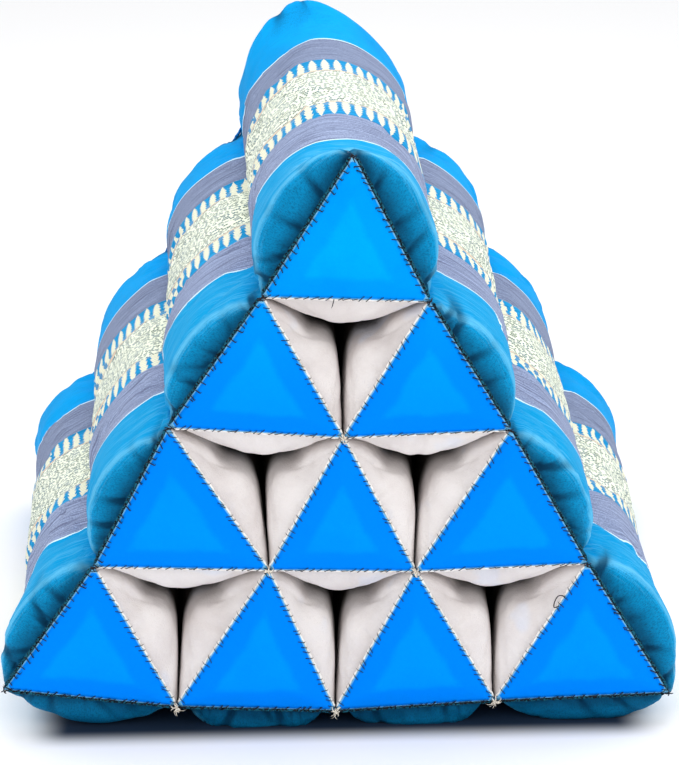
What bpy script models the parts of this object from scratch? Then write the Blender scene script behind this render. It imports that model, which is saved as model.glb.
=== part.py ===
"""Triangle floor cushion: ten stuffed cloth tubes stacked four, three, two, one.

Every tube is a triangular prism of cream cotton packed with kapok, sewn to its
neighbours along the three corners that run from the near end to the far end.
Striped woven cloth covers the faces that show on the outside of the stack, and
a flat blue triangle closes each end of each tube.

Metres, +Z up, X across, Y along the tubes. The near ends face -Y. The origin is
the middle of the floor patch under the cushion.
"""

import math

import bmesh
import bpy
from mathutils import Vector

NAME = "triangle_cushion"

# Driving dimensions
ROWS = 4                     # rows of tubes, one tube in the top row
PITCH = 0.125                # one side of a tube, between its corner seams
TUBE_LENGTH = 0.420          # near end panels to far end panels, at their seams
SEAM_LIFT = 0.027            # the lowest row of seams above the floor
OUTER_SWELL = 0.23           # rise of an outer face over its side, as a share of the side
OUTER_SAG = 0.008            # how far the middle of an outer face hangs down
HOLLOW_MOUTH = 1.00          # pull of an inner face to the middle of its open star, at the ends
HOLLOW_DEEP = 1.06           # the same deep inside
HOLLOW_RUN = 0.090           # run from an end to the deep swell
SWELL_RUN = 0.028            # run from an end seam to the full swell
SWELL_POWER = 3.5            # how steeply the swell starts at an end seam
RIDGE_RUN = 0.036            # run over which a ridge changes near an end
PULL_IN = 0.010              # shrinking of the middle of the stack, as a share
END_DOME = 0.006             # rise of an end panel at its centre

# Cloth and clearances
CLOTH = 0.0012               # the woven cover and the end panels
CLEARANCE = 0.0003           # between pieces that are sewn together
HALF_GAP = 0.0002            # kept by each side of a seam line

# Steps of the meshes
WALL_STEPS = 6
PANEL_STEPS = 3
DOME_RING = 0.55             # share of an end's outline between its rim and its centre
RUN_STEPS = (0.0, 0.07, 0.2, 0.42, 1.0, 2.0, 3.4)
CORNER_TURN = math.sin(math.radians(30))    # a sharper turn is mitred, a lesser one is round

# Three tubes have a free corner. Its cloth is one round, this high as a share of
# the side. It stands up in a ridge: at the near end, in the middle, at the far end.
CORNER_SWELL = {(0, 0): 0.725, (3, 0): 0.725, (3, 3): 0.78}
RIDGES = {(0, 0): (0.024, 0.007, 0.026), (3, 0): (0.020, 0.0, 0.010), (3, 3): (0.022, 0.0, 0.016)}

# Hand sewing leaves the seams uneven. Each row moves one seam from the even
# lattice, in millimetres: at the near end, then at the far end.
SEAM_DRIFT_COLUMNS = ("row", "place", "near_x", "near_z", "far_x", "far_z")
SEAM_DRIFT = (
    (0, 0, 8, -2, -22, -9),
    (1, 0, 5, 1, -3, -4),
    (1, 1, 0, -4, 2, -3),
    (2, 0, -1, 9, -3, 1),
    (2, 1, 1, -1, -4, 3),
    (2, 2, -2, 3, 7, 4),
    (3, 0, 4, 6, -3, -2),
    (3, 1, 8, 1, 2, -3),
    (3, 2, -8, -2, 4, 1),
    (3, 3, -5, 2, -2, 3),
    (4, 0, -4, 13, 3, 8),
    (4, 1, 0, -4, -5, -3),
    (4, 2, -5, -10, 3, -8),
    (4, 3, -9, -4, 2, -5),
    (4, 4, -2, 0, -3, 6),
)
MILLIMETRE = 0.001

# Colours, roughness
CREAM_COTTON = ((0.74, 0.70, 0.68, 1.0), 0.9)
WOVEN_BLUE = ((0.02, 0.33, 0.62, 1.0), 0.85)
PANEL_BLUE = ((0.0, 0.30, 1.0, 1.0), 0.8)

ROW_HEIGHT = PITCH * math.sqrt(3) / 2
BACKING = CLOTH + CLEARANCE
NEAR_END = -TUBE_LENGTH / 2
FAR_END = TUBE_LENGTH / 2


# Seams and swell

DRIFT = {}
for entry in SEAM_DRIFT:
    columns = dict(zip(SEAM_DRIFT_COLUMNS, entry))
    DRIFT[columns["row"], columns["place"]] = (
        Vector((columns["near_x"], columns["near_z"])) * MILLIMETRE,
        Vector((columns["far_x"], columns["far_z"])) * MILLIMETRE,
    )


def way_in(y, run):
    """Share of a run from the nearer end seam that lies behind depth y."""
    return min(max((TUBE_LENGTH / 2 - BACKING - abs(y)) / run, 0.0), 1.0)


def swell(y):
    """Share of the full swell at depth y, and its growth per metre."""
    left = 1 - way_in(y, SWELL_RUN)
    return 1 - left ** SWELL_POWER, SWELL_POWER * left ** (SWELL_POWER - 1) / SWELL_RUN


def seam(row, place, y):
    """Where a corner seam crosses the plane at depth y, as (x, z)."""
    even = Vector(((place - row / 2) * PITCH, (ROWS - row) * ROW_HEIGHT))
    even *= 1 - PULL_IN * swell(y)[0]
    near, far = DRIFT[row, place]
    return even + Vector((0, SEAM_LIFT)) + near.lerp(far, (y - NEAR_END) / TUBE_LENGTH)


# Faces of a tube in the plane at one depth, as points from corner to corner.
# The corners run top, left, right, so the outside is on the right of travel.

def straight_face(start, end, steps):
    return [start.lerp(end, step / steps) for step in range(steps + 1)]


def arc_face(start, end, rise, steps):
    """Circular arc that stands up from the chord by its rise."""
    along = (end - start).normalized()
    out = Vector((along.y, -along.x))
    chord = (end - start).length
    half_angle = 2 * math.atan(2 * rise / chord)
    radius = chord / (2 * math.sin(half_angle))
    centre = (start + end) / 2 - out * radius * math.cos(half_angle)
    points = []
    for step in range(steps + 1):
        angle = half_angle * (2 * step / steps - 1)
        points.append(centre + radius * (along * math.sin(angle) + out * math.cos(angle)))
    return points


def hollow_face(start, end, middle, y, steps):
    """Face that swells into the open star between three tubes."""
    pull = HOLLOW_MOUTH + (HOLLOW_DEEP - HOLLOW_MOUTH) * way_in(y, HOLLOW_RUN) ** 2
    first = start.lerp(middle, pull)
    second = end.lerp(middle, pull)
    points = []
    for step in range(steps + 1):
        t = step / steps
        first_half = (1 - t) ** 3 * start + 3 * t * (1 - t) ** 2 * first
        points.append(first_half + 3 * t ** 2 * (1 - t) * second + t ** 3 * end)
    return points


def round_corner(row, place, corners, first, y):
    """Arc over two faces and the free corner between them, drawn out to a ridge."""
    start, end = corners[first], corners[(first + 2) % 3]
    points = arc_face(start, end, CORNER_SWELL[row, place] * PITCH, 2 * WALL_STEPS)
    along = (end - start).normalized()
    toward = corners[(first + 1) % 3] - (start + end) / 2
    near, middle, far = RIDGES[row, place]
    left = TUBE_LENGTH / 2 - BACKING - abs(y)
    at_end = math.exp(-(left / RIDGE_RUN) ** 2)
    height = middle + ((near if y < 0 else far) - middle) * at_end
    ridge = toward.normalized() * height + along * toward.dot(along) / 2 * at_end
    for step in range(2 * WALL_STEPS + 1):
        points[step] += ridge * math.sin(math.pi * step / (2 * WALL_STEPS)) ** 3
    return points


def tube_faces(row, place, y):
    """The three faces of a tube at depth y, each with its points' slopes along Y."""
    corners = [seam(row, place, y), seam(row + 1, place, y), seam(row + 1, place + 1, y)]
    outer = outer_faces(row, place)
    gaps = (
        ((row, place), (row, place - 1), (row + 1, place)),
        ((row + 1, place), (row + 1, place + 1), (row + 2, place + 1)),
        ((row, place), (row, place + 1), (row + 1, place + 1)),
    )
    flat = [straight_face(corners[i], corners[(i + 1) % 3], WALL_STEPS) for i in range(3)]
    full = []
    for i in range(3):
        start, end = corners[i], corners[(i + 1) % 3]
        if outer[i]:
            arc = arc_face(start, end, OUTER_SWELL * PITCH, WALL_STEPS)
            for step, point in enumerate(arc):
                point.y -= OUTER_SAG * math.sin(math.pi * step / WALL_STEPS)
            full.append(arc)
        else:
            middle = sum((seam(*crossing, y) for crossing in gaps[i]), Vector((0, 0))) / 3
            full.append(hollow_face(start, end, middle, y, WALL_STEPS))
    first = free_corner(row, place)
    if first is not None:
        whole = round_corner(row, place, corners, first, y)
        full[first] = whole[:WALL_STEPS + 1]
        full[(first + 1) % 3] = whole[WALL_STEPS:]
    share, growth = swell(y)
    faces = []
    slopes = []
    for i in range(3):
        points = []
        growths = []
        for at_end, at_middle in zip(flat[i], full[i]):
            point = at_end.lerp(at_middle, share)
            points.append(Vector((point.x, max(point.y, 0.0))))
            growths.append((at_middle - at_end).length * growth)
        faces.append(points)
        slopes.append(growths)
    return faces, slopes


def outer_faces(row, place):
    """Whether the left, bottom and right faces are on the outside of the stack."""
    return place == 0, row == ROWS - 1, place == row


def free_corner(row, place):
    """The first of the two outer faces that one cloth wraps, round a free corner."""
    outer = outer_faces(row, place)
    for first in range(3):
        if outer[first] and outer[(first + 1) % 3]:
            return first
    return None


def depths_below(slopes, thickness):
    """Insets of a face's edges that keep a cloth's true thickness where it slopes."""
    depths = [thickness * math.hypot(1, slope) for slope in slopes]
    return [(a + b) / 2 for a, b in zip(depths, depths[1:])]


def inset(points, depths, closed):
    """Move each point in by the depths of the edges on both sides of it."""
    count = len(points)
    edges = []
    for i in range(count if closed else count - 1):
        along = (points[(i + 1) % count] - points[i]).normalized()
        edges.append((Vector((-along.y, along.x)), depths[i]))
    moved = []
    for i, point in enumerate(points):
        before = edges[i - 1] if closed or i > 0 else edges[0]
        after = edges[i] if i < len(edges) else edges[-1]
        cross = before[0].x * after[0].y - before[0].y * after[0].x
        if abs(cross) < CORNER_TURN:
            between = (before[0] + after[0]) / 2
            moved.append(point + between / between.length_squared * (before[1] + after[1]) / 2)
            continue
        shift_x = (before[1] * after[0].y - after[1] * before[0].y) / cross
        shift_y = (before[0].x * after[1] - after[0].x * before[1]) / cross
        moved.append(point + Vector((shift_x, shift_y)))
    return moved


def stations():
    """Depths of the sections, closer together where the ends swell."""
    start = NEAR_END + BACKING
    near = [start + SWELL_RUN * share for share in RUN_STEPS]
    return near + [0.0] + [-y for y in reversed(near)]


# Meshes

def in_space(points, y):
    return [Vector((point.x, y, point.y)) for point in points]


def bridge(bm, ring_a, ring_b, closed):
    """Triangles between two rings, split the same way so that layers lie flush."""
    count = len(ring_a)
    for i in range(count if closed else count - 1):
        j = (i + 1) % count
        bm.faces.new((ring_a[i], ring_a[j], ring_b[j]))
        bm.faces.new((ring_a[i], ring_b[j], ring_b[i]))


def add_object(name, bm, look, parent, origin):
    """Finish a mesh, give it its own material and hang it in the stack."""
    bmesh.ops.recalc_face_normals(bm, faces=bm.faces)
    bmesh.ops.translate(bm, verts=bm.verts, vec=-origin)
    mesh = bpy.data.meshes.new(name)
    bm.to_mesh(mesh)
    bm.free()
    mesh.shade_smooth()
    mesh.set_sharp_from_angle(angle=math.radians(50))
    colour, roughness = look
    material = bpy.data.materials.new(name)
    material.use_nodes = True
    shader = material.node_tree.nodes["Principled BSDF"]
    shader.inputs["Base Color"].default_value = colour
    shader.inputs["Roughness"].default_value = roughness
    shader.inputs["Metallic"].default_value = 0.0
    mesh.materials.append(material)
    obj = bpy.data.objects.new(name, mesh)
    obj.location = origin
    obj.parent = parent
    collection.objects.link(obj)


def tube_centre(row, place):
    corners = (seam(row, place, 0), seam(row + 1, place, 0), seam(row + 1, place + 1, 0))
    middle = sum(corners, Vector((0, 0))) / 3
    return Vector((middle.x, 0, middle.y))


def tube_section(row, place, y):
    """Closed outline of the stuffed cotton, just inside its cover."""
    faces, slopes = tube_faces(row, place, y)
    outer = outer_faces(row, place)
    points = []
    depths = []
    for i in range(3):
        points += faces[i][:-1]
        depths += depths_below(slopes[i], BACKING) if outer[i] else [HALF_GAP] * WALL_STEPS
    return inset(points, depths, closed=True)


def domed_end(bm, rim, outline, y, outward):
    """Close a ring of vertices with a low dome that stands out from its plane."""
    centre = sum(outline, Vector((0, 0))) / len(outline)
    ring_points = [centre.lerp(point, DOME_RING) for point in outline]
    ring_y = y + outward * END_DOME * (1 - DOME_RING ** 2)
    ring = [bm.verts.new(point) for point in in_space(ring_points, ring_y)]
    bridge(bm, rim, ring, closed=True)
    tip = bm.verts.new((centre.x, y + outward * END_DOME, centre.y))
    for i, vert in enumerate(ring):
        bm.faces.new((vert, ring[(i + 1) % len(ring)], tip))


def add_tube(row, place, stack):
    """One stuffed tube of cotton with its two domed ends."""
    bm = bmesh.new()
    rings = []
    outlines = []
    for y in stations():
        outline = tube_section(row, place, y)
        outlines.append(outline)
        rings.append([bm.verts.new(point) for point in in_space(outline, y)])
    for ring_a, ring_b in zip(rings, rings[1:]):
        bridge(bm, ring_a, ring_b, closed=True)
    domed_end(bm, rings[0], outlines[0], stations()[0], -1)
    domed_end(bm, rings[-1], outlines[-1], stations()[-1], 1)
    add_object(f"tube_{row + 1}_{place + 1}", bm, CREAM_COTTON, stack, tube_centre(row, place))


def cover_section(row, place, first, span, y):
    """Outer and inner line of the woven cloth over one face, or two round a corner."""
    faces, slopes = tube_faces(row, place, y)
    points = list(faces[first])
    depths = depths_below(slopes[first], CLOTH)
    if span == 2:
        second = (first + 1) % 3
        points += faces[second][1:]
        depths += depths_below(slopes[second], CLOTH)
    points[0] = points[0] + (points[-1] - points[0]).normalized() * HALF_GAP
    points[-1] = points[-1] - (points[-1] - points[0]).normalized() * HALF_GAP
    return points, inset(points, depths, closed=False)


def add_cover(name, row, place, first, span, stack):
    """Striped cloth that lies on the outer faces of one tube."""
    bm = bmesh.new()
    outside = []
    inside = []
    for y in stations():
        outer_line, inner_line = cover_section(row, place, first, span, y)
        outside.append([bm.verts.new(point) for point in in_space(outer_line, y)])
        inside.append([bm.verts.new(point) for point in in_space(inner_line, y)])
    for layer in (outside, inside):
        for line_a, line_b in zip(layer, layer[1:]):
            bridge(bm, line_a, line_b, closed=False)
    for end in (0, -1):
        bridge(bm, outside[end], inside[end], closed=False)
        bridge(bm, [line[end] for line in outside], [line[end] for line in inside], closed=False)
    add_object(name, bm, WOVEN_BLUE, stack, tube_centre(row, place))


def add_panel(name, row, place, outward, stack):
    """Flat blue triangle sewn over one end of a tube."""
    end = NEAR_END if outward < 0 else FAR_END
    corners = [seam(row, place, end), seam(row + 1, place, end), seam(row + 1, place + 1, end)]
    outline = inset(corners, [HALF_GAP] * 3, closed=True)
    points = []
    for i in range(3):
        points += straight_face(outline[i], outline[(i + 1) % 3], PANEL_STEPS)[:-1]
    bm = bmesh.new()
    rims = []
    for y in (end, end - outward * CLOTH):
        rim = [bm.verts.new(point) for point in in_space(points, y)]
        domed_end(bm, rim, points, y, outward)
        rims.append(rim)
    bridge(bm, rims[0], rims[1], closed=True)
    add_object(name, bm, PANEL_BLUE, stack, tube_centre(row, place))


for old in list(bpy.data.objects):
    bpy.data.objects.remove(old, do_unlink=True)

collection = bpy.data.collections.new(NAME)
bpy.context.scene.collection.children.link(collection)
stack = bpy.data.objects.new("stack", None)
collection.objects.link(stack)

for row in range(ROWS):
    for place in range(row + 1):
        label = f"{row + 1}_{place + 1}"
        add_tube(row, place, stack)
        add_panel(f"near_panel_{label}", row, place, -1, stack)
        add_panel(f"far_panel_{label}", row, place, 1, stack)
        wrapped = free_corner(row, place)
        if wrapped is not None:
            add_cover(f"cover_{label}", row, place, wrapped, 2, stack)
            continue
        for face in range(3):
            if outer_faces(row, place)[face]:
                add_cover(f"cover_{label}", row, place, face, 1, stack)

# Set the origin under the middle of the finished stack
bpy.context.view_layer.update()
pieces = [obj for obj in collection.objects if obj.type == "MESH"]
reach = [obj.matrix_world @ vert.co for obj in pieces for vert in obj.data.vertices]
for axis in (0, 1):
    along = [point[axis] for point in reach]
    stack.location[axis] = -(min(along) + max(along)) / 2
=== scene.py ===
"""Looks of the triangle floor cushion: ten stuffed tubes sewn into a stack.

Metres, +Z up, X across, Y along the tubes. The near ends face -Y.
"""

import math
import random

import bmesh
import bpy
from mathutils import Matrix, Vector, noise


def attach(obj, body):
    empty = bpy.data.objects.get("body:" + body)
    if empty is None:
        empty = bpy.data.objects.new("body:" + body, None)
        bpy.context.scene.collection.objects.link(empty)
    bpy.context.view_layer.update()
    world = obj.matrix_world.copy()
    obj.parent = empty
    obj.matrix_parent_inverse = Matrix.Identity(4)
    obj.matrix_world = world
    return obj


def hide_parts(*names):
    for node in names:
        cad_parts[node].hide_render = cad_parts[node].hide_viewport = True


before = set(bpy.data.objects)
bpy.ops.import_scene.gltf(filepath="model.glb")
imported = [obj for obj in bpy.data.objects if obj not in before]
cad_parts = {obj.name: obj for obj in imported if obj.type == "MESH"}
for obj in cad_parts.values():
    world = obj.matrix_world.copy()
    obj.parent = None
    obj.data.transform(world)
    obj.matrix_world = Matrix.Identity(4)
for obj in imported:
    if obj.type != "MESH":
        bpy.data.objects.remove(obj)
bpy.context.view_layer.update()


# Studio. A pale table under soft white light, with the camera a little above
# the cushion and almost square to its near ends.

class Wire:
    """One value or colour in a finish. Python sums and products add Math nodes."""

    def __init__(self, look, socket):
        self.look = look
        self.socket = socket

    def maths(self, operation, *others):
        sockets = dict(enumerate((self, *others)))
        return self.look.node("Math", {"operation": operation}, sockets)

    def __add__(self, other):
        return self.maths("ADD", other)

    def __radd__(self, other):
        return self.maths("ADD", other)

    def __sub__(self, other):
        return self.maths("SUBTRACT", other)

    def __rsub__(self, other):
        return self.look.node("Math", {"operation": "SUBTRACT"}, {0: other, 1: self})

    def __mul__(self, other):
        return self.maths("MULTIPLY", other)

    def __rmul__(self, other):
        return self.maths("MULTIPLY", other)

    def __truediv__(self, other):
        return self.maths("DIVIDE", other)

    def __abs__(self):
        return self.maths("ABSOLUTE")

    def __gt__(self, other):
        return self.maths("GREATER_THAN", other)

    def __lt__(self, other):
        return self.maths("LESS_THAN", other)

    def fraction(self):
        return self.maths("FRACT")

    def floor(self):
        return self.maths("FLOOR")

    def most(self, other):
        return self.maths("MAXIMUM", other)

    def between(self, low, high):
        """0 below low, 1 above high, and a soft step from one to the other."""
        settings = {"interpolation_type": "SMOOTHSTEP"}
        return self.look.node("MapRange", settings, {"Value": self, 1: low, 2: high})


class Look:
    """A finish: the material, its Principled shader and the nodes wired to it."""

    def __init__(self, name, roughness, sheen=0.0, specular=0.5):
        self.material = bpy.data.materials.new(name)
        self.material.use_nodes = True
        self.tree = self.material.node_tree
        self.shader = self.tree.nodes["Principled BSDF"]
        self.set("Roughness", roughness)
        self.set("Sheen Weight", sheen)
        self.set("Specular IOR Level", specular)

    def join(self, socket, value):
        if isinstance(value, Wire):
            self.tree.links.new(value.socket, socket)
        else:
            socket.default_value = value

    def set(self, name, value):
        self.join(self.shader.inputs[name], value)

    def node(self, kind, settings=None, sockets=None, output=0):
        """Add a node, set it up, wire it, and return one of its outputs."""
        node = self.tree.nodes.new("ShaderNode" + kind)
        for name, value in (settings or {}).items():
            if name != "stops":
                setattr(node, name, value)
                continue
            for place, (position, level) in enumerate(value):
                stops = node.color_ramp.elements
                stop = stops[place] if place < 2 else stops.new(position)
                stop.position = position
                stop.color = (level, level, level, 1)
        for name, value in (sockets or {}).items():
            self.join(node.inputs[name], value)
        return Wire(self, node.outputs[output])

    def parts(self, vector):
        """The three numbers of a vector."""
        split = self.node("SeparateXYZ", None, {0: vector}).socket.node
        return [Wire(self, output) for output in split.outputs]

    def point(self, x, y, z):
        return self.node("CombineXYZ", None, {0: x, 1: y, 2: z})

    def noise(self, where, scale, detail=2.0):
        return self.node("TexNoise", None, {"Vector": where, "Scale": scale, "Detail": detail})

    def mix(self, share, first, second):
        """Colour that is the first where the share is 0 and the second where it is 1."""
        return self.node("Mix", {"data_type": "RGBA"}, {0: share, 6: first, 7: second}, output=2)

    def here(self):
        return self.node("TexCoord", output="Object")

    def relief(self, height, depth):
        """Raise and sink the surface by the height, in shares of the depth in metres."""
        self.set("Normal", self.node("Bump", None, {"Height": height, "Distance": depth}))


def colour(red, green, blue):
    return (red, green, blue, 1.0)


table_look = Look("white table", roughness=0.7, specular=0.2)
across, along = table_look.parts(table_look.here())[:2]
SHADE_WIDE, SHADE_DEEP = 0.244, 0.232   # half sizes of the shade that the cushion keeps under it
shaded = (SHADE_WIDE - abs(across)).between(0.0, 0.036) * (SHADE_DEEP - abs(along)).between(0.0, 0.028)
table_look.set("Base Color", table_look.mix(shaded, colour(0.97, 0.97, 0.97), colour(0.012, 0.026, 0.055)))
bm = bmesh.new()
bmesh.ops.create_grid(bm, x_segments=1, y_segments=1, size=6)
mesh = bpy.data.meshes.new("table")
bm.to_mesh(mesh)
bm.free()
mesh.materials.append(table_look.material)
table = bpy.data.objects.new("table", mesh)
bpy.context.scene.collection.objects.link(table)

world = bpy.data.worlds.new("white room")
world.use_nodes = True
world.node_tree.nodes["Background"].inputs["Color"].default_value = colour(0.98, 0.985, 1.0)
world.node_tree.nodes["Background"].inputs["Strength"].default_value = 0.75
bpy.context.scene.world = world
bpy.context.scene.view_settings.view_transform = "Standard"

for name, place, size, power in (
    ("top softbox", (0.1, 0.35, 2.2), 1.8, 24),
    ("left softbox", (-1.6, -1.6, 1.6), 1.4, 14),
    ("right softbox", (1.7, -1.5, 1.5), 1.4, 19),
):
    lamp = bpy.data.lights.new(name, "AREA")
    lamp.size = size
    lamp.energy = power
    light = bpy.data.objects.new(name, lamp)
    light.location = place
    light.rotation_euler = (Vector((0, 0, 0.2)) - Vector(place)).to_track_quat("-Z", "Y").to_euler()
    bpy.context.scene.collection.objects.link(light)

lens = bpy.data.cameras.new("camera")
lens.lens = 137.3
lens.sensor_width = 36
camera = bpy.data.objects.new("camera", lens)
camera.location = (-0.0778, -2.1517, 1.0981)
camera.rotation_euler = Vector((0.0356, 0.9219, -0.3856)).to_track_quat("-Z", "Y").to_euler()
bpy.context.scene.collection.objects.link(camera)
bpy.context.scene.camera = camera


# Stuffed tubes. Ten three-sided bags of cream cotton, packed hard with kapok
# and sewn to each other along their corners, in rows of one, two, three and
# four. Six open stars stay between them, lined by the tubes' own cotton.

ROWS = 4
PITCH = 0.125
TUBE_LENGTH = 0.420
SEAM_LIFT = 0.027
OUTER_SWELL = 0.23
OUTER_SAG = 0.008
CORNER_SWELL = {(0, 0): 0.725, (3, 0): 0.725, (3, 3): 0.78}
SWELL_RUN = 0.028
SWELL_POWER = 3.5
HOLLOW_SWELL = (1.00, 1.06)   # of the way to the middle of a star: at its mouth, deep inside
HOLLOW_RUN = 0.09             # from the mouth to where the star is at its narrowest
RIDGES = {(0, 0): (0.024, 0.007, 0.026), (3, 0): (0.020, 0.0, 0.010), (3, 3): (0.022, 0.0, 0.016)}
RIDGE_RUN = 0.036
PULL_IN = 0.010
CLOTH = 0.0012
BACKING = 0.0015
ACROSS = -0.0009              # the middle of the stack from the middle of its seams
ROW_HEIGHT = PITCH * math.sqrt(3) / 2
LAST = TUBE_LENGTH / 2 - BACKING
WALL_STEPS = 56
LONG_STEPS = 96
CELLS = [(row, place) for row in range(ROWS) for place in range(row + 1)]

# How far hand sewing moved each seam, in millimetres: near x and z, far x and z
DRIFT = {
    (0, 0): (8, -2, -22, -9),
    (1, 0): (5, 1, -3, -4),
    (1, 1): (0, -4, 2, -3),
    (2, 0): (-1, 9, -3, 1),
    (2, 1): (1, -1, -4, 3),
    (2, 2): (-2, 3, 7, 4),
    (3, 0): (4, 6, -3, -2),
    (3, 1): (8, 1, 2, -3),
    (3, 2): (-8, -2, 4, 1),
    (3, 3): (-5, 2, -2, 3),
    (4, 0): (-4, 13, 3, 8),
    (4, 1): (0, -4, -5, -3),
    (4, 2): (-5, -10, 3, -8),
    (4, 3): (-9, -4, 2, -5),
    (4, 4): (-2, 0, -3, 6),
}


def swell(y):
    """Share of the full swell at depth y: none at the ends, all within the run."""
    way = min(max((LAST - abs(y)) / SWELL_RUN, 0.0), 1.0)
    return 1 - (1 - way) ** SWELL_POWER


def seam(row, place, y):
    """Where a corner seam crosses the plane at depth y, as (x, z)."""
    x = (place - row / 2) * PITCH
    z = (ROWS - row) * ROW_HEIGHT
    shrink = 1 - PULL_IN * swell(y)
    near_x, near_z, far_x, far_z = (0.001 * move for move in DRIFT[row, place])
    way = y / TUBE_LENGTH + 0.5
    return Vector((
        x * shrink + near_x + (far_x - near_x) * way + ACROSS,
        z * shrink + near_z + (far_z - near_z) * way + SEAM_LIFT,
    ))


def outside(row, place):
    """Whether the left, bottom and right faces of a tube are on the outside."""
    return place == 0, row == ROWS - 1, place == row


def free_corner(row, place):
    """The first of two outside faces that meet, or nothing where none do."""
    faces = outside(row, place)
    for first in range(3):
        if faces[first] and faces[(first + 1) % 3]:
            return first
    return None


def arc(start, end, rise, steps):
    along = (end - start).normalized()
    out = Vector((along.y, -along.x))
    chord = (end - start).length
    half_angle = 2 * math.atan(2 * rise / chord)
    radius = chord / (2 * math.sin(half_angle))
    centre = (start + end) / 2 - out * radius * math.cos(half_angle)
    angles = [half_angle * (2 * step / steps - 1) for step in range(steps + 1)]
    return [centre + radius * (along * math.sin(a) + out * math.cos(a)) for a in angles]


def hollow(start, end, middle, y, steps):
    """Face that swells into an open star, pressed to its neighbours at both ends."""
    deep = min(max((LAST - abs(y)) / HOLLOW_RUN, 0.0), 1.0) ** 2
    reach = HOLLOW_SWELL[0] + (HOLLOW_SWELL[1] - HOLLOW_SWELL[0]) * deep
    first = start.lerp(middle, reach)
    second = end.lerp(middle, reach)
    points = []
    for step in range(steps + 1):
        t = step / steps
        near = (1 - t) ** 3 * start + 3 * t * (1 - t) ** 2 * first
        points.append(near + 3 * t ** 2 * (1 - t) * second + t ** 3 * end)
    return points


def corners_at(row, place, y):
    return [seam(row, place, y), seam(row + 1, place, y), seam(row + 1, place + 1, y)]


def tube_faces(row, place, y, steps):
    """Lines round the left, bottom and right faces of a tube at depth y."""
    corners = corners_at(row, place, y)
    open_air = outside(row, place)
    gaps = (
        ((row, place), (row, place - 1), (row + 1, place)),
        ((row + 1, place), (row + 1, place + 1), (row + 2, place + 1)),
        ((row, place), (row, place + 1), (row + 1, place + 1)),
    )
    full = []
    for side in range(3):
        start, end = corners[side], corners[(side + 1) % 3]
        if open_air[side]:
            line = arc(start, end, OUTER_SWELL * PITCH, steps)
            for step, point in enumerate(line):
                point.y -= OUTER_SAG * math.sin(math.pi * step / steps)
            full.append(line)
        else:
            middle = sum((seam(*crossing, y) for crossing in gaps[side]), Vector((0, 0))) / 3
            full.append(hollow(start, end, middle, y, steps))
    first = free_corner(row, place)
    if first is not None:
        second = (first + 1) % 3
        far = corners[(first + 2) % 3]
        whole = arc(corners[first], far, CORNER_SWELL[row, place] * PITCH, 2 * steps)
        chord = (far - corners[first]).normalized()
        toward = corners[second] - (corners[first] + far) / 2
        near, middle, beyond = RIDGES[row, place]
        at_end = math.exp(-((LAST - abs(y)) / RIDGE_RUN) ** 2)
        height = middle + ((near if y < 0 else beyond) - middle) * at_end
        ridge = toward.normalized() * height + chord * toward.dot(chord) * 0.5 * at_end
        for step in range(2 * steps + 1):
            whole[step] += ridge * math.sin(math.pi * step / (2 * steps)) ** 3
        full[first] = whole[:steps + 1]
        full[second] = whole[steps:]
    faces = []
    for side in range(3):
        start, end = corners[side], corners[(side + 1) % 3]
        line = []
        for step in range(steps + 1):
            flat = start.lerp(end, step / steps)
            point = flat.lerp(full[side][step], swell(y))
            line.append(Vector((point.x, max(point.y, 0.0))))
        faces.append(line)
    return faces


def depth_of(step):
    """Depth of one section of the cloth, with the sections closer near the ends."""
    s = 2 * step / LONG_STEPS - 1
    return LAST * (0.12 * s + 0.88 * math.sin(math.pi * s / 2))


def along_cloth(sections):
    """Length of cloth from the middle section to each point, less than nothing nearer."""
    count = len(sections[0])
    table = [[0.0] * count for section in sections]
    half = LONG_STEPS // 2
    for step in [*range(half - 1, -1, -1), *range(half + 1, LONG_STEPS + 1)]:
        back, way = (step + 1, -1) if step < half else (step - 1, 1)
        run = depth_of(step) - depth_of(back)
        for turn in range(count):
            rise = (sections[step][turn] - sections[back][turn]).length
            table[step][turn] = table[back][turn] + way * math.hypot(rise, run)
    return table


def creases(seed, faces):
    """Folds that run back from an end seam: place, lean, depth and reach of each."""
    dice = random.Random(seed)
    found = []
    for number in range(5 * faces):
        place = (number + 0.5 + dice.uniform(-0.35, 0.35)) / 5
        found.append((place, dice.uniform(-4.0, 4.0), dice.uniform(0.4, 1.1), dice.uniform(0.014, 0.032)))
    return found


def fold_depth(found, across, from_end):
    """How deep the folds go at one spot, from 0 to 1."""
    depth = 0.0
    for place, lean, share, reach in found:
        off = (across - place - lean * from_end) / (0.016 + 1.1 * from_end)
        depth += share * math.exp(-off * off) * min(from_end / 0.004, 1) * math.exp(-from_end / reach)
    return depth


def gather(across, from_end, seed):
    """Small puckers between one stitch and the next along an end seam."""
    wander = noise.noise(Vector((across * 5, seed, 0.5)))
    strength = min(max(0.5 + 1.3 * noise.noise(Vector((across * 9, seed, 7.5))), 0.15), 1.0)
    wave = 0.5 + 0.5 * math.cos(2 * math.pi * (across * 16 + wander))
    return wave ** 2 * strength * math.exp(-from_end / (0.004 + 0.009 * strength))


def add_piece(name, bm, look):
    """Finish a mesh as a smooth piece of the cushion and let it move with it."""
    mesh = bpy.data.meshes.new(name)
    bm.to_mesh(mesh)
    bm.free()
    mesh.shade_smooth()
    mesh.materials.append(look.material)
    piece = bpy.data.objects.new(name, mesh)
    bpy.context.scene.collection.objects.link(piece)
    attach(piece, "root")
    return piece


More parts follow.
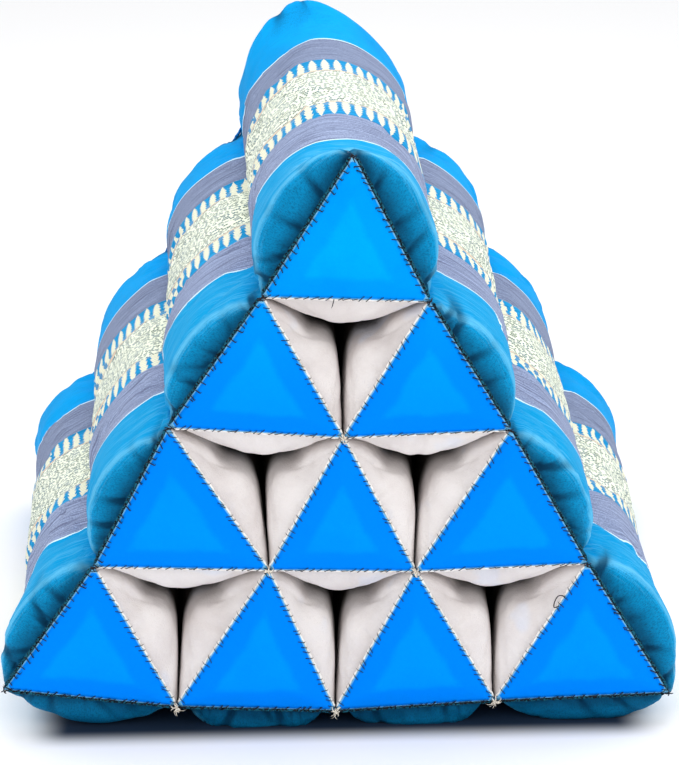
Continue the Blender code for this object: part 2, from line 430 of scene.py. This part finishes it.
cream = Look("cream cotton", roughness=0.9, sheen=0.0, specular=0.1)
spot = cream.here()
blotch = cream.noise(spot, 28, 4).between(0.35, 0.7)
fine = cream.noise(spot, 900, 1)
# Painted shade: the cotton darkens to near black from 36 mm to 62 mm in from each end, so the stars and the
# tubes' insides stay dark.
painted_hollow_shade = (LAST - abs(cream.parts(spot)[1])).between(0.036, 0.062)
washed = cream.mix(blotch * 0.6 + fine * 0.3, colour(0.82, 0.78, 0.765), colour(0.66, 0.605, 0.59))
stain = cream.noise(cream.node("VectorMath", {"operation": "ADD"}, {0: spot, 1: (3, 5, 7)}), 24, 2)
washed = cream.mix(stain.between(0.58, 0.70) * 0.35, washed, colour(0.66, 0.74, 0.90))
cream.set("Base Color", cream.mix(painted_hollow_shade, washed, colour(0.035, 0.028, 0.024)))
cream.relief(cream.noise(spot, 60, 3) + fine * 0.25, 0.0018)

# Folds that fan out from the upper corners of a wall: place, lean, depth and reach
FAN = [(0.10, 7.0, 0.8, 0.03), (0.20, 2.0, 0.5, 0.02), (0.90, -8.0, 0.9, 0.03), (0.78, -3.0, 0.4, 0.02)]

for row, place in CELLS:
    around = 3 * WALL_STEPS
    open_air = outside(row, place)
    bm = bmesh.new()
    grid = bmesh.ops.create_grid(bm, x_segments=around, y_segments=LONG_STEPS, size=1)["verts"]
    sections = []
    for step in range(LONG_STEPS + 1):
        faces = tube_faces(row, place, depth_of(step), WALL_STEPS)
        sections.append([point for face in faces for point in face[:-1]] + [faces[0][0]])
    spots = {}
    for number, vert in enumerate(grid):
        step, turn = divmod(number, around + 1)
        point = sections[step][turn]
        vert.co = (point.x, depth_of(step), point.y)
        spots[vert] = (step, turn % around)
    bmesh.ops.remove_doubles(bm, verts=bm.verts, dist=0.00001)
    bmesh.ops.recalc_face_normals(bm, faces=bm.faces)
    bmesh.ops.holes_fill(bm, edges=[edge for edge in bm.edges if edge.is_boundary])
    bmesh.ops.recalc_face_normals(bm, faces=bm.faces)
    bm.normal_update()
    folds = {}
    for side in range(3):
        for end in (-1, 1):
            found = creases(100 * row + 10 * place + 3 * side + end, 1)[::2]
            folds[side, end] = found + FAN
    sunk = []
    along = along_cloth(sections)
    for vert in bm.verts:
        step, turn = spots[vert]
        from_end = abs(along[0 if step < LONG_STEPS / 2 else -1][turn] - along[step][turn])
        side, across = divmod(turn, WALL_STEPS)
        across /= WALL_STEPS
        middle = 1.0 if across == 0 else math.sin(math.pi * across)
        y = depth_of(step)
        seam_point = across == 0 and not (open_air[side] and open_air[side - 1])
        if seam_point or from_end <= 0:
            continue
        if open_air[side]:
            sunk.append((vert, 0.0026 + 0.009 * min(from_end / 0.008, 1) * middle))
            continue
        lump = 0.5 + 0.5 * noise.noise(Vector((vert.co.x, y * 0.6, vert.co.z)) * 38)
        fold = fold_depth(folds[side, -1 if y < 0 else 1], across, from_end)
        # a wall stands back from the star below each upper corner, and sags under its own tube
        shoulder = 0.5 if side == 1 else 0.30 if side == 0 else 0.70
        drawn = math.exp(-((across - shoulder) / (0.20 if side == 1 else 0.13)) ** 2)
        drawn *= (0.0016 if side == 1 else 0.0080) * min(from_end / 0.016, 1)
        pucker = 0.0009 * gather(across, from_end, 100 * row + 10 * place + side)
        sunk.append((vert, 0.0003 + drawn + middle * (0.0022 * lump + 0.0034 * fold) + pucker))
    moves = [(vert, vert.co - vert.normal * depth) for vert, depth in sunk]
    for vert, spot in moves:
        vert.co = spot
    tube = add_piece(f"stuffed_tube_{row + 1}_{place + 1}", bm, cream)
    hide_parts(f"tube_{row + 1}_{place + 1}")


# Striped covers. One length of handwoven cotton lies over each outside face,
# or is wrapped round the free corner where a tube has two. Blue ends, grey
# bands and an ivory brocade with rows of teeth run round it, the same from
# both ends. It is gathered into the end seams, which leaves folds.

MIDDLE_AT = 0.0015               # the middle of the design, from the middle of the cloth
LAID_OFF = {(0, 0): -0.001, (1, 0): 0.002}   # how much farther back the design of a cover lies
LINE_AT = 0.1320
GREY_FROM = 0.0715
TEETH_FROM = 0.0425
FIELD_TO = 0.0398
TOOTH_PITCH = 0.0096
DIAMOND = 0.0112
FLOAT_LONG = 0.0019
FLOAT_WIDE = 0.0016
SLACK = 0.035                    # how much longer the cloth may get as it settles
MOST_OUT, MOST_IN, MOST_ASIDE = 0.002, 0.002, 0.0012

striped = Look("striped handwoven cotton", roughness=0.75, specular=0.08)
u, v = striped.parts(striped.node("UVMap", {"uv_map": "cloth"}))[:2]
spot = striped.here()
wander = striped.noise(spot, 45, 2) - 0.5
across = v - MIDDLE_AT
away = abs(across) + 0.0008 * wander
from_end = striped.node("Attribute", {"attribute_name": "from_end"}, output=2)
# end_facing is how squarely the cloth faces a tube's end; below it drives a painted highlight and painted
# shade.
facing = striped.node("Attribute", {"attribute_name": "end_facing"}, output=2) + 0.25 * wander
fold = striped.node("Attribute", {"attribute_name": "fold"}, output=2)
far_half = v.between(-0.02, 0.06)
yarn = striped.noise(striped.point(u * 60, v * 1500, 0.0), 1.0, 2)
slub = striped.noise(striped.point(u * 16, v * 620, 3.0), 1.0, 3)
grain = striped.noise(spot, 850, 2)
warp = striped.noise(striped.point(u * 1500, v * 330, 5.0), 1.0, 2)
streak = (slub * 1.6 + yarn * 0.8 - 0.7).between(0.15, 0.85)

navy = colour(0.0, 0.030, 0.075)
teal = colour(0.0, 0.225, 0.47)
azure = colour(0.0, 0.33, 0.68)
bright_azure = colour(0.0, 0.355, 0.82)
pale_blue = colour(0.22, 0.66, 0.90)
inward = from_end + 0.020 * (striped.noise(spot, 26, 3) - 0.5)
blue = striped.mix(far_half, azure, bright_azure)
# Painted highlight: pale cyan on the near half where the cloth starts to turn from the top towards the tube's
# end.
painted_crest_highlight = facing.between(0.02, 0.22) * (1.0 - facing.between(0.25, 0.55))
blue = striped.mix(painted_crest_highlight * (1.0 - far_half) * 0.45, blue, pale_blue)
blue = striped.mix((streak - 0.5).between(0.0, 0.5) * (1.0 - far_half) * 0.22, blue, pale_blue)
blue = striped.mix((0.52 - yarn).between(0.0, 0.15) * 0.35, blue, teal)
faded = striped.noise(spot, 17, 3).between(0.40, 0.65)
blue = striped.mix(faded * far_half * 0.4, blue, colour(0.0, 0.24, 0.58))
# Painted shade: cloth that faces the tube's end turns teal.
blue = striped.mix(facing.between(0.34, 0.88), blue, teal)
# Navy within about 2 cm of the end seams: partly painted shade where the cloth turns down into the seam,
# partly dirt and tight weave at the seam.
blue = striped.mix((1.0 - inward.between(0.002, 0.020)) * 0.75, blue, navy)
blue = striped.mix((warp - 0.48).between(0.0, 0.15) * 0.35 * facing.between(0.2, 0.7), blue, navy)
blue = striped.mix((grain - 0.5).between(0.0, 0.2) * 0.32 * facing.between(0.1, 0.6), blue, navy)
# Painted shade: the cloth darkens to navy in its folds and puckers.
blue = striped.mix(fold.between(0.06, 0.62) * 0.85, blue, navy)
# Painted shade: the cloth darkens towards navy in its lowest 5 cm, near the table.
low = 1.0 - striped.parts(spot)[2].between(0.004, 0.05)
blue = striped.mix(low * 0.45, blue, navy)

grey = striped.mix(streak, colour(0.17, 0.21, 0.33), colour(0.36, 0.43, 0.64))
grey = striped.mix((warp - 0.48).between(0.0, 0.15) * 0.3, grey, colour(0.50, 0.60, 0.82))
grey = striped.mix((grain - 0.48).between(0.0, 0.2) * 0.5, grey, colour(0.09, 0.11, 0.20))
grey = striped.mix((0.46 - slub).between(0.0, 0.10) * 0.45, grey, colour(0.10, 0.10, 0.19))
grey = striped.mix(far_half * 0.32, grey, colour(0.12, 0.15, 0.22))

row_place = (away - TEETH_FROM) / (GREY_FROM - TEETH_FROM)
tier = (row_place * 6.0).fraction()
envelope = striped.node("ValToRGB", {"stops": (
    (0.0, 0.66), (1.0, 0.08), (0.10, 0.66), (0.30, 0.84), (0.60, 0.76), (0.82, 0.48),
)}, {0: row_place})
half_width = envelope * (1.0 - 0.46 * tier)
beside = abs((u / TOOTH_PITCH).fraction() - 0.5) * 2.0
tooth = (beside < half_width) * (row_place > 0.0) * (row_place < 1.0)
ivory = colour(0.86, 0.88, 0.70)
weft = (row_place * 15.0).fraction()
tooth_colour = striped.mix((weft < 0.3) * 0.6, ivory, colour(0.50, 0.42, 0.32))
ground = striped.mix(streak, colour(0.0, 0.20, 0.46), colour(0.02, 0.36, 0.72))
ribs = (weft < 0.35) * (row_place < 0.26)
ground = striped.mix(ribs * 0.6, ground, colour(0.52, 0.46, 0.42))
teeth = striped.mix(tooth, ground, tooth_colour)

row_of_floats = (v / FLOAT_WIDE).floor()
float_u = u / FLOAT_LONG + (row_of_floats * 0.5).fraction()
cell_u = float_u.floor() * (FLOAT_LONG / TOOTH_PITCH)
cell_v = row_of_floats * (FLOAT_WIDE / DIAMOND)
reach = abs(cell_u.fraction() - 0.5) * 2.0 + abs(cell_v.fraction() - 0.5) * 2.0
ring = (reach * 2.0).fraction()
cell = striped.point(float_u.floor(), row_of_floats, 0.0)
chance = striped.node("TexWhiteNoise", {"noise_dimensions": "2D"}, {"Vector": cell})
beside_float = abs(float_u.fraction() - 0.5)
between_rows = abs((v / FLOAT_WIDE).fraction() - 0.5)
lifted = ((ring > 0.42) * (chance > 0.15)).most(chance > 0.88)
speck = lifted * (beside_float < 0.42) * (between_rows < 0.31)
speck_colour = striped.mix(
    striped.noise(spot, 160, 2).between(0.4, 0.6), colour(0.03, 0.09, 0.06), colour(0.0, 0.10, 0.18),
)
floats = striped.mix(yarn, colour(0.97, 1.0, 0.90), colour(0.80, 0.86, 0.68))
field = striped.mix(speck * 0.95, floats, speck_colour)

stripe = abs(away - (FIELD_TO + TEETH_FROM) / 2)
edging = striped.mix(stripe.between(0.0003, 0.0006), colour(0.72, 0.40, 0.26), ivory)
edging = striped.mix(stripe > 0.0010, edging, colour(0.01, 0.14, 0.30))

pattern = striped.mix(away > FIELD_TO, field, edging)
pattern = striped.mix(away > TEETH_FROM, pattern, teeth)
pattern = striped.mix(away > GREY_FROM, pattern, grey)
pattern = striped.mix(away > LINE_AT - 0.0008, pattern, colour(0.70, 0.92, 1.0))
pattern = striped.mix(away > LINE_AT + 0.0008, pattern, blue)
striped.set("Base Color", pattern)
brocade = (away < FIELD_TO) * (1.0 - speck) + tooth
striped.relief(brocade + yarn * 0.35 + slub * 0.25 + warp * 0.2, 0.0006)

covers = {}
for row, place in CELLS:
    first = free_corner(row, place)
    starts = [first] if first is not None else [side for side in range(3) if outside(row, place)[side]]
    for start in starts:
        faces_wide = 2 if first is not None else 1
        around = faces_wide * WALL_STEPS
        bm = bmesh.new()
        end_layer = bm.verts.layers.float.new("from_end")
        facing_layer = bm.verts.layers.float.new("end_facing")
        fold_shade_layer = bm.verts.layers.float.new("fold")
        grid = bmesh.ops.create_grid(bm, x_segments=around, y_segments=LONG_STEPS, size=1)["verts"]
        lines = []
        for step in range(LONG_STEPS + 1):
            faces = tube_faces(row, place, depth_of(step), WALL_STEPS)
            line = list(faces[start])
            if faces_wide == 2:
                line += faces[(start + 1) % 3][1:]
            lines.append(line)
        middle_line = lines[LONG_STEPS // 2]
        girth = [0.0]
        for before, after in zip(middle_line, middle_line[1:]):
            girth.append(girth[-1] + (after - before).length)
        for number, vert in enumerate(grid):
            step, turn = divmod(number, around + 1)
            point = lines[step][turn]
            vert.co = (point.x, depth_of(step), point.y)
        along = along_cloth(lines)
        bm.normal_update()
        bm.faces.ensure_lookup_table()
        heart = sum((Vector((p.x, 0, p.y)) for p in middle_line), Vector()) / len(middle_line)
        core = sum((Vector((c.x, 0, c.y)) for c in corners_at(row, place, 0)), Vector()) / 3
        bulk = sum((face.normal for face in bm.faces), Vector())
        if bulk.dot(heart - core) < 0:
            bmesh.ops.reverse_faces(bm, faces=bm.faces)
            bm.normal_update()
        seed = 1000 + 100 * row + 10 * place + 3 * start
        folds = {end: creases(seed + end, faces_wide) for end in (-1, 1)}
        cloth = bm.loops.layers.uv.new("cloth")
        bm.verts.index_update()
        for face in bm.faces:
            for loop in face.loops:
                step, turn = divmod(loop.vert.index, around + 1)
                loop[cloth].uv = (girth[turn], along[step][turn] - LAID_OFF.get((row, place), 0.0))
        moves = []
        for number, vert in enumerate(grid):
            step, turn = divmod(number, around + 1)
            y = depth_of(step)
            across = turn / WALL_STEPS
            from_end = abs(along[0 if y < 0 else -1][turn] - along[step][turn])
            sides = min(1.0, 2.5 * math.sin(math.pi * turn / around))
            ends = min(from_end / 0.03, 1.0)
            low = noise.noise(Vector((vert.co.x, y * 0.7, vert.co.z)) * 17)
            small = noise.noise(Vector((vert.co.x, y, vert.co.z)) * 55)
            fold = fold_depth(folds[-1 if y < 0 else 1], across, from_end)
            # How squarely the cloth faces its end, kept for painted light and shade in the striped finish.
            vert[facing_layer] = abs(vert.normal.y)
            pucker = gather(across, from_end, seed)
            # Fold and pucker depth, kept for painted shade in the striped finish.
            vert[fold_shade_layer] = min(fold + 0.8 * pucker, 1.0)
            rise = sides * (ends * (0.0026 * low + 0.0003 * small + 0.0004) - 0.0058 * fold - 0.0016 * pucker)
            moves.append(vert.co + vert.normal * rise)
            vert[end_layer] = from_end
        for vert, spot in zip(grid, moves):
            vert.co = (spot.x, spot.y, max(spot.z, 0.0))
        normals = [vert.normal.copy() for vert in grid]
        edge_of_cloth = [vert.index for vert in bm.verts if vert.is_boundary]
        label = f"{row + 1}_{place + 1}"
        cover = add_piece(f"striped_cover_{label}", bm, striped)
        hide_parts(f"cover_{label}")
        covers[row, place] = (cover, girth[-1], edge_of_cloth, normals)


def let_settle(sewn, slack, most_out, most_in, most_aside):
    """Let pieces of cloth swell over their filling, held along their seams, and keep the result."""
    scene = bpy.context.scene
    for piece, seam_points, normals in sewn:
        held = piece.vertex_groups.new(name="seams")
        held.add(seam_points, 1.0, "REPLACE")
        cloth = piece.modifiers.new("settling", "CLOTH")
        cloth.settings.quality = 5
        cloth.settings.mass = 0.15
        cloth.settings.tension_stiffness = 15
        cloth.settings.compression_stiffness = 15
        cloth.settings.shear_stiffness = 5
        cloth.settings.bending_stiffness = 0.1
        cloth.settings.shrink_min = -slack
        cloth.settings.use_pressure = True
        cloth.settings.uniform_pressure_force = 4
        cloth.settings.vertex_group_mass = "seams"
        cloth.settings.effector_weights.gravity = 0
        cloth.point_cache.frame_start = 1
        cloth.point_cache.frame_end = 20
    for frame_number in range(1, 21):
        scene.frame_set(frame_number)
    depsgraph = bpy.context.evaluated_depsgraph_get()
    for piece, seam_points, normals in sewn:
        settled = [vert.co.copy() for vert in piece.evaluated_get(depsgraph).data.vertices]
        piece.modifiers.remove(piece.modifiers["settling"])
        piece.vertex_groups.clear()
        for vert, spot, normal in zip(piece.data.vertices, settled, normals):
            move = spot - vert.co
            out = move.dot(normal)
            side = move - normal * out
            side *= min(1.0, most_aside / max(side.length, most_aside))
            vert.co += side + normal * min(max(out, -most_in), most_out)
            vert.co.z = max(vert.co.z, 0.0)
    scene.frame_set(1)


let_settle(
    [(cover, edge, normals) for cover, wide, edge, normals in covers.values()],
    SLACK, MOST_OUT, MOST_IN, MOST_ASIDE,
)
for (row, place), (cover, wide, edge, normals) in covers.items():
    wall = cover.modifiers.new("cloth thickness", "SOLIDIFY")
    wall.thickness = CLOTH
    wall.offset = -1


# End panels. A flat triangle of bright blue cotton closes each end of each
# tube. A smaller, lighter triangle shows in its middle. Panels on the upper
# rows carry painted light: their blue is lighter, as if lit more from above.

END_DOME = 0.006
PANEL_CUTS = 27
INNER_TRIANGLE_INSET = 0.016


def hem_depth(corners, point):
    """Distances from a point in a triangle to each of its three sides."""
    depths = []
    for side in range(3):
        start, end = corners[side], corners[(side + 1) % 3]
        along = (end - start).normalized()
        to_point = point - start
        depths.append(abs(along.x * to_point.y - along.y * to_point.x))
    return depths


bright = Look("bright blue cotton", roughness=0.8, specular=0.01)
spot = bright.here()
from_edge = bright.node("Attribute", {"attribute_name": "from_edge"}, output=2)
ragged = 0.008 * (bright.noise(spot, 45, 3) - 0.5)
inner_triangle = (from_edge + ragged).between(INNER_TRIANGLE_INSET - 0.002, INNER_TRIANGLE_INSET + 0.004)
# Painted light: the panels' blue lightens from 26 cm to 40 cm up, and their inner triangles show more there.
high = bright.parts(spot)[2].between(0.26, 0.40)
cloudy = bright.noise(spot, 30, 3)
panel_colour = bright.mix(high * 0.5, colour(0.0, 0.222, 0.91), colour(0.0, 0.40, 0.99))
panel_colour = bright.mix(inner_triangle * (0.22 + high * 0.16), panel_colour, colour(0.0, 0.46, 1.0))
panel_colour = bright.mix(cloudy.between(0.45, 0.75) * 0.25, panel_colour, colour(0.0, 0.22, 0.78))
panel_colour = bright.mix(1.0 - from_edge.between(0.0004, 0.0012), panel_colour, colour(0.20, 0.58, 0.92))
bright.set("Base Color", panel_colour)
bright.relief(bright.noise(spot, 1300, 1) * 0.3 + bright.noise(spot, 90, 2), 0.0005)

panels = {}
for row, place in CELLS:
    for end, outward, word in ((-TUBE_LENGTH / 2, -1, "near"), (TUBE_LENGTH / 2, 1, "far")):
        corners = corners_at(row, place, end)
        bm = bmesh.new()
        rim = [bm.verts.new((corner.x, end, corner.y)) for corner in corners]
        bm.faces.new(rim)
        bmesh.ops.subdivide_edges(bm, edges=bm.edges, cuts=PANEL_CUTS, use_grid_fill=True)
        bm.normal_update()
        if sum(face.normal.y for face in bm.faces) * outward < 0:
            bmesh.ops.reverse_faces(bm, faces=bm.faces)
        edge_layer = bm.verts.layers.float.new("from_edge")
        radius = sum(hem_depth(corners, sum(corners, Vector((0, 0))) / 3)) / 3
        for vert in bm.verts:
            flat = Vector((vert.co.x, vert.co.z))
            depth = min(hem_depth(corners, flat))
            vert[edge_layer] = depth
            share = max(0.0, 1 - depth / radius)
            lump = noise.noise(Vector((flat.x, flat.y, row + 3 * place)) * 30)
            dome = END_DOME * (1 - share ** 2.2) + 0.0007 * lump * (1 - share)
            vert.co.y = end + outward * dome
        label = f"{row + 1}_{place + 1}"
        panel = add_piece(f"{word}_end_{label}", bm, bright)
        wall = panel.modifiers.new("cloth thickness", "SOLIDIFY")
        wall.thickness = CLOTH
        wall.offset = -1
        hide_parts(f"{word}_panel_{label}")
        panels[row, place, outward] = panel


# Rolled seams. The raw edges of the covers and the tubes are rolled over at
# the end panels and overcast: dark at the near ends and blue at the far ends
# on the outside of the stack, and white cotton round the open stars.

def lay_cord(bm, path, radii, sides):
    """A round cord along the path, drawn to a point where its radius is nothing."""
    steps = len(path) - 1
    ring = bmesh.ops.create_grid(bm, x_segments=sides, y_segments=steps, size=1)["verts"]
    for number, vert in enumerate(ring):
        step, side = divmod(number, sides + 1)
        ahead = path[min(step + 1, steps)] - path[max(step - 1, 0)]
        across = ahead.cross(Vector((0.1, 1, 0.05))).normalized()
        over = ahead.cross(across).normalized()
        angle = 2 * math.pi * side / sides
        vert.co = path[step] + radii[step] * (across * math.cos(angle) + over * math.sin(angle))
    bmesh.ops.remove_doubles(bm, verts=ring, dist=0.000001)


def close_up(bm):
    bmesh.ops.recalc_face_normals(bm, faces=bm.faces)


overcast = Look("overcast dark edge", roughness=0.85, specular=0.1)
spot = overcast.here()
speckle = overcast.noise(spot, 700, 2).between(0.42, 0.58)
overcast.set("Base Color", overcast.mix(speckle, colour(0.003, 0.006, 0.010), colour(0.01, 0.11, 0.17)))
overcast.relief(overcast.noise(spot, 800, 2), 0.0008)

blue_roll = Look("overcast blue edge", roughness=0.85, specular=0.1)
spot = blue_roll.here()
speckle = blue_roll.noise(spot, 700, 2).between(0.50, 0.62)
blue_roll.set("Base Color", blue_roll.mix(speckle, colour(0.0, 0.20, 0.62), colour(0.01, 0.06, 0.16)))
blue_roll.relief(blue_roll.noise(spot, 800, 2), 0.0008)

white_edge = Look("white seam edge", roughness=0.9, specular=0.1)
spot = white_edge.here()
white_edge.set("Base Color", white_edge.mix(
    white_edge.noise(spot, 260, 3).between(0.4, 0.75), colour(0.92, 0.90, 0.86), colour(0.66, 0.60, 0.54),
))
white_edge.relief(white_edge.noise(spot, 500, 2), 0.0006)

for row, place in CELLS:
    for end, outward, word in ((-TUBE_LENGTH / 2, -1, "near"), (TUBE_LENGTH / 2, 1, "far")):
        corners = corners_at(row, place, end)
        dark = bmesh.new()
        pale = bmesh.new()
        dice = random.Random(7000 + 100 * row + 10 * place + outward)
        for side in range(3):
            start, finish = corners[side], corners[(side + 1) % 3]
            along = (finish - start).normalized()
            out = Vector((along.y, -along.x))
            open_air = outside(row, place)[side]
            thick = 0.0012 if open_air else 0.0008
            offset = 0.0012 if open_air else 0.0006
            path = []
            radii = []
            steps = 54
            for step in range(steps + 1):
                flat = start.lerp(finish, 0.015 + 0.97 * step / steps)
                flat += out * (offset + dice.uniform(-0.0003, 0.0003))
                y = end + outward * (-0.0006 + dice.uniform(-0.0003, 0.0003))
                path.append(Vector((flat.x, y, flat.y)))
                radii.append(thick * dice.uniform(0.75, 1.15) if 0 < step < steps else 0.0)
            lay_cord(dark if open_air else pale, path, radii, 7)
        label = f"{row + 1}_{place + 1}"
        outer_look = overcast if word == "near" else blue_roll
        for strip, look, kind in ((dark, outer_look, "outer"), (pale, white_edge, "white")):
            if not strip.verts:
                strip.free()
                continue
            close_up(strip)
            add_piece(f"{word}_{kind}_roll_{label}", strip, look)


# Hand stitches. Black doubled thread whips each end panel to the cloth round
# it, three or four stitches in two centimetres, slanted by the sewer's hand.
# On the outside of the stack about half of them are crossed by a second one.

STITCH_PITCH = 0.0057
SLANTS = {"left": -48, "bottom": 24, "right": -10}
# A stitch from the cloth over the edge to the panel: share of its length, height off the panel
STITCH_LIE = ((-0.35, -0.0016), (-0.15, 0.0012), (0.2, 0.0011), (0.5, 0.0013), (0.65, 0.0003))

thread = Look("black sewing thread", roughness=0.7, specular=0.15)
spot = thread.here()
thread.set("Base Color", thread.mix(
    thread.noise(spot, 900, 1), colour(0.004, 0.004, 0.006), colour(0.03, 0.03, 0.04),
))
thread.relief(thread.noise(spot, 2500, 1), 0.0001)

for row, place in CELLS:
    for end, outward, word in ((-TUBE_LENGTH / 2, -1, "near"), (TUBE_LENGTH / 2, 1, "far")):
        corners = corners_at(row, place, end)
        bm = bmesh.new()
        dice = random.Random(9000 + 100 * row + 10 * place + outward)
        for side, slant in enumerate(SLANTS.values()):
            start, finish = corners[side], corners[(side + 1) % 3]
            along = (finish - start).normalized()
            out = Vector((along.y, -along.x))
            count = round((finish - start).length / STITCH_PITCH)
            thread_radius = 0.00036 if outside(row, place)[side] else 0.00030
            for number in range(count):
                seat = start.lerp(finish, (number + 0.5 + dice.uniform(-0.3, 0.3)) / count)
                angle = math.radians(slant + dice.uniform(-20, 20))
                lie = Vector((math.cos(angle), math.sin(angle)))
                if lie.dot(out) > 0:
                    lie = -lie
                long = dice.uniform(0.0044, 0.0084)
                path = []
                for share, lift in STITCH_LIE:
                    flat = seat + lie * long * share
                    path.append(Vector((flat.x, end + outward * lift, flat.y)))
                lay_cord(bm, path, (0.0, thread_radius, thread_radius, thread_radius, 0.0), 6)
                if outside(row, place)[side] and dice.random() < 0.55:
                    crossed = [Vector((spot.x, spot.y + outward * 0.0005, spot.z)) for spot in path]
                    shift = along * dice.uniform(0.0012, 0.0024)
                    crossed[0] += Vector((shift.x, 0, shift.y))
                    crossed[-1] -= Vector((shift.x, 0, shift.y)) * 1.5
                    lay_cord(bm, crossed, (0.0, 0.00034, 0.00034, 0.00034, 0.0), 6)
        close_up(bm)
        add_piece(f"{word}_stitches_{row + 1}_{place + 1}", bm, thread)


# Knots. Where the corners of the tubes meet, the sewing thread is knotted and
# its ends are left standing: pale yarn between the tubes, black at the outside
# of the stack. Two black threads have come loose; one of them stands in a loop.

pale_yarn = Look("pale knotting yarn", roughness=0.9, specular=0.1)
spot = pale_yarn.here()
pale_yarn.set("Base Color", pale_yarn.mix(
    pale_yarn.noise(spot, 700, 2).between(0.35, 0.7), colour(0.86, 0.80, 0.68), colour(0.42, 0.36, 0.30),
))
pale_yarn.relief(pale_yarn.noise(spot, 1800, 1), 0.0002)


def lay_strand(bm, seat, end, outward, angle, bend, long, radius):
    """One thread end that leaves a knot, rises off the cloth and comes down on it."""
    path = []
    for share, lift in ((0.0, 0.0004), (0.15, 0.0022), (0.4, 0.0026), (0.75, 0.0021), (1.0, 0.0012)):
        turned = angle + bend * share
        flat = seat + Vector((math.cos(turned), math.sin(turned))) * long * share
        path.append(Vector((flat.x, end + outward * lift, flat.y)))
    lay_cord(bm, path, (0.7 * radius, radius, radius, 0.8 * radius, 0.0), 6)


for row in range(ROWS + 1):
    for place in range(row + 1):
        between_tubes = 0 < place < row
        for end, outward, word in ((-TUBE_LENGTH / 2, -1, "near"), (TUBE_LENGTH / 2, 1, "far")):
            dice = random.Random(11000 + 100 * row + 10 * place + outward)
            seat = seam(row, place, end)
            bm = bmesh.new()
            strands = 11 if between_tubes else 4 if word == "near" else 2
            for number in range(strands):
                angle = 2 * math.pi * (number + dice.uniform(-0.35, 0.35)) / strands
                long = dice.uniform(0.0026, 0.0058) if between_tubes else dice.uniform(0.0020, 0.0040)
                lay_strand(bm, seat, end, outward, angle, dice.uniform(-1.3, 1.3), long, 0.00048)
            if row == ROWS and between_tubes:
                for number in range(4):
                    angle = math.radians(dice.uniform(-125, -55))
                    bend = dice.uniform(-0.9, 0.9)
                    long = dice.uniform(0.004, 0.009)
                    lay_strand(bm, seat, end, outward, angle, bend, long, 0.00026)
            close_up(bm)
            look = pale_yarn if between_tubes else thread
            add_piece(f"{word}_knot_{row + 1}_{place + 1}", bm, look)

bm = bmesh.new()
end = -TUBE_LENGTH / 2
top, bottom = seam(3, 3, end), seam(4, 3, end)
path = []
for step in range(15):
    turn = math.pi * step / 14
    flat = top.lerp(bottom, 0.27 - 0.034 * math.cos(turn))
    aside = 0.0056 * math.sin(turn) ** 0.7
    path.append(Vector((flat.x - aside, end - 0.0012, flat.y + 0.002 * math.sin(2 * turn))))
lay_cord(bm, path, [0.00042] * 15, 6)
start = seam(1, 0, end).lerp(seam(1, 1, end), 0.43)
path = [Vector((start.x, end - 0.0012, start.y)), Vector((start.x - 0.001, end + 0.0006, start.y - 0.0055))]
path.append(path[-1] + Vector((-0.0012, 0.0008, -0.0030)))
lay_cord(bm, path, (0.0003, 0.00034, 0.0), 6)
bmesh.ops.holes_fill(bm, edges=[edge for edge in bm.edges if edge.is_boundary])
close_up(bm)
add_piece("loose_black_thread", bm, thread)
